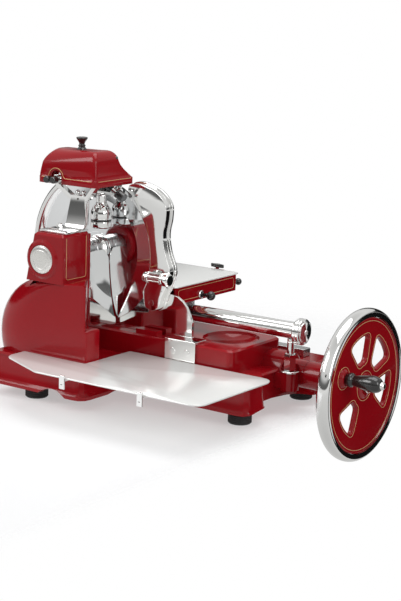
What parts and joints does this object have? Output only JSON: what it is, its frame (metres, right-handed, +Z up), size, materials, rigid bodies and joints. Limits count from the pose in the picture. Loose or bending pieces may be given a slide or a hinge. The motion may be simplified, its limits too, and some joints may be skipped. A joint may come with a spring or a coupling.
{
  "type": "hand crank meat slicer",
  "caption": "Flywheel meat slicer: a hand crank turns a round blade, and a sliding table carries the meat past it; enamelled body, polished fittings.",
  "frame": {"origin": "centre of the sole of the front left foot", "axes": "+X from the drive column to the flywheel, along the carriage's travel and the flywheel's axis; +Y from the operator's side to the back, along the blade's axis; +Z up"},
  "size_m": [0.7415, 0.5031, 0.5371],
  "materials": {
    "red_enamel": "gloss",
    "polished_chrome": "polished",
    "machined_steel": "satin",
    "black_plastic": "gloss",
    "foot_rubber": "matt",
    "white_enamel": "gloss",
    "grindstone": "rough"
  },
  "bodies": {
    "frame": {"base_casting": "red_enamel", "foot_front_left": "foot_rubber", "foot_front_right": "foot_rubber", "foot_rear_left": "foot_rubber", "foot_rear_right": "foot_rubber", "gear_column": "red_enamel", "column_rear_cover": "red_enamel", "badge_cap": "polished_chrome", "column_top_plate": "polished_chrome", "spindle_housing": "machined_steel", "shaft_housing": "red_enamel", "shaft_bush": "polished_chrome", "rail_tube": "polished_chrome", "rail_collar": "polished_chrome", "rail_post": "polished_chrome", "rear_track": "machined_steel", "deflector": "polished_chrome", "blade_guard": "polished_chrome", "gauge_support": "polished_chrome", "tray_hook_left": "polished_chrome", "tray_hook_right": "polished_chrome", "sharpener_bracket": "polished_chrome", "stone_spindle_housing": "machined_steel", "hone_holder": "black_plastic", "holder_ring": "polished_chrome", "drive_chain": "machined_steel"},
    "flywheel": {"flywheel_disc": "red_enamel", "flywheel_rim": "polished_chrome", "flywheel_nut": "polished_chrome", "main_shaft": "machined_steel", "drive_mitre_gear": "machined_steel", "crank_pin": "machined_steel"},
    "grip": {"crank_grip": "black_plastic"},
    "low_shaft_group": {"low_shaft": "machined_steel", "driven_mitre_gear": "machined_steel", "low_spur_gear": "machined_steel"},
    "upper_shaft_group": {"upper_pinion_shaft": "machined_steel", "chain_wheel": "machined_steel"},
    "blade_group": {"blade": "polished_chrome", "blade_hub": "machined_steel", "blade_spindle": "machined_steel", "spindle_sprocket": "machined_steel"},
    "carriage": {"carriage_frame": "machined_steel"},
    "carriage_roller": {"rear_roller": "machined_steel"},
    "carriage_pull": {"pull_knob": "black_plastic"},
    "meat_table": {"table_body": "red_enamel", "meat_plate": "white_enamel"},
    "table_clamp": {"clamp_knob": "black_plastic"},
    "table_knob": {"feed_knob": "black_plastic"},
    "gauge": {"gauge_plate": "polished_chrome"},
    "thickness_control": {"thickness_knob": "polished_chrome"},
    "tray": {"receiving_tray": "white_enamel"},
    "grind_lever": {"grind_push_rod": "machined_steel"},
    "grind_wheel": {"grind_stone": "grindstone"},
    "hone_lever": {"hone_push_rod": "machined_steel"},
    "hone_wheel": {"hone_stone": "grindstone"},
    "sharpener_hood": {"sharpener_cover": "red_enamel", "cover_knob": "black_plastic"}
  },
  "joints": [
    {"name": "flywheel_spin", "type": "hinge", "parent": "frame", "child": "flywheel", "pos_m": [0.548, 0.238, 0.069], "axis": [1, 0, 0], "continuous": true},
    {"name": "grip_spin", "type": "hinge", "parent": "flywheel", "child": "grip", "pos_m": [0.5513, 0.16282, 0.09636], "axis": [1, 0, 0], "continuous": true},
    {"name": "low_shaft_spin", "type": "hinge", "parent": "frame", "child": "low_shaft_group", "pos_m": [0.03, 0.238, 0.069], "axis": [0, 1, 0], "continuous": true},
    {"name": "upper_shaft_spin", "type": "hinge", "parent": "frame", "child": "upper_shaft_group", "pos_m": [0.03, 0.036, 0.14], "axis": [0, 1, 0], "continuous": true},
    {"name": "blade_spin", "type": "hinge", "parent": "frame", "child": "blade_group", "pos_m": [0.03, 0.13, 0.26], "axis": [0, 1, 0], "continuous": true},
    {"name": "carriage_slide", "type": "slide", "parent": "frame", "child": "carriage", "axis": [1, 0, 0], "range_m": [-0.05, 0.18]},
    {"name": "roller_spin", "type": "hinge", "parent": "carriage", "child": "carriage_roller", "pos_m": [0.10025, 0.314, 0.1073], "axis": [0, 1, 0], "range_deg": [-239.7, 860.4]},
    {"name": "carriage_pull_slide", "type": "slide", "parent": "carriage", "child": "carriage_pull", "axis": [0, 1, 0], "range_m": [0, 0.008], "stiffness_N_per_m": 400},
    {"name": "meat_table_slide", "type": "slide", "parent": "carriage", "child": "meat_table", "axis": [0, 1, 0], "range_m": [0, 0.1]},
    {"name": "clamp_turn", "type": "hinge", "parent": "meat_table", "child": "table_clamp", "pos_m": [0.147, 0.354, 0.2106], "axis": [0, 0, 1], "range_deg": [0, 90]},
    {"name": "table_knob_slide", "type": "slide", "parent": "meat_table", "child": "table_knob", "axis": [1, 0, 0], "range_m": [0, 0.006], "stiffness_N_per_m": 400},
    {"name": "gauge_slide", "type": "slide", "parent": "frame", "child": "gauge", "axis": [0, 1, 0], "range_m": [-0.014, 0]},
    {"name": "thickness_turn", "type": "hinge", "parent": "gauge", "child": "thickness_control", "pos_m": [0.209, 0.0995, 0.23], "axis": [1, 0, 0], "range_deg": [-1, 271]},
    {"name": "tray_lift", "type": "slide", "parent": "frame", "child": "tray", "axis": [0, 0, 1], "range_m": [0, 0.04]},
    {"name": "grind_lever_slide", "type": "slide", "parent": "frame", "child": "grind_lever", "axis": [0, 1, 0], "range_m": [0, 0.004], "stiffness_N_per_m": 400},
    {"name": "grind_wheel_spin", "type": "hinge", "parent": "grind_lever", "child": "grind_wheel", "pos_m": [0.03412, 0.13, 0.37785], "axis": [0, 1, 0], "continuous": true},
    {"name": "hone_lever_slide", "type": "slide", "parent": "frame", "child": "hone_lever", "axis": [0, -1, 0], "range_m": [0, 0.004], "stiffness_N_per_m": 400},
    {"name": "hone_wheel_spin", "type": "hinge", "parent": "hone_lever", "child": "hone_wheel", "pos_m": [0.01359, 0.13, 0.37678], "axis": [0, 1, 0], "continuous": true},
    {"name": "hood_lift", "type": "slide", "parent": "frame", "child": "sharpener_hood", "axis": [0, 0, 1], "range_m": [0, 0.06]}
  ],
  "couplings": [
    {"joint": "low_shaft_spin", "follows": "flywheel_spin", "ratio": 1},
    {"joint": "upper_shaft_spin", "follows": "flywheel_spin", "ratio": -1.2},
    {"joint": "blade_spin", "follows": "flywheel_spin", "ratio": -3.6},
    {"joint": "roller_spin", "follows": "carriage_slide", "rad_per_m": 83.333},
    {"joint": "thickness_turn", "follows": "gauge_slide", "rad_per_m": -336.6}
  ]
}
